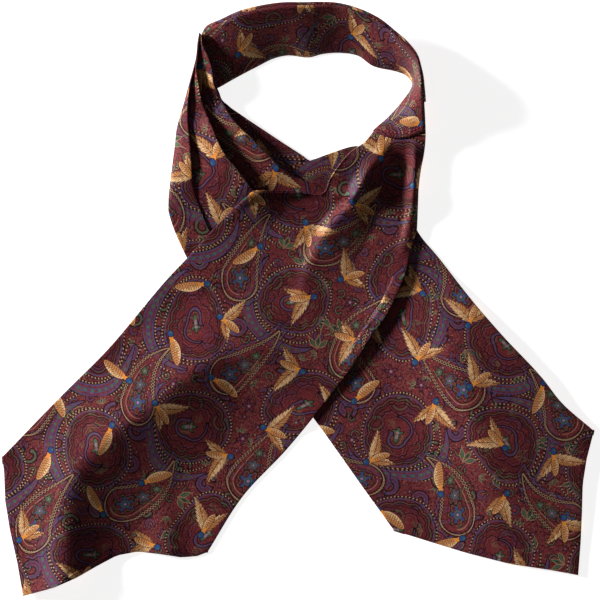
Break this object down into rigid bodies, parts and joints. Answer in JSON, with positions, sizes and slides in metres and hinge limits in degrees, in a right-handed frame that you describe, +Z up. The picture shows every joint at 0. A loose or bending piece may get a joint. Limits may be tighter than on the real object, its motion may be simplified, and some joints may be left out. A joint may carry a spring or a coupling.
{
  "type": "silk cravat",
  "caption": "Wide printed silk neck scarf laid flat: a narrow pleated neckband round an open neck loop, and broad pointed blades that cross below it.",
  "frame": {"origin": "middle of the laid-out cravat's outline, on the surface it lies on", "axes": "+X to the right as seen from above, +Y from the blades' points towards the back of the neck, +Z up from the surface"},
  "size_m": [0.451, 0.4531, 0.0322],
  "materials": {
    "printed_silk": "silk twill, printed, soft sheen",
    "facing_silk": "silk twill, printed, soft sheen"
  },
  "bodies": {
    "root": {"band_facing": "facing_silk", "band_outer": "printed_silk", "left_neck_under_blade": "printed_silk", "right_neck_top_blade": "printed_silk"}
  },
  "joints": []
}
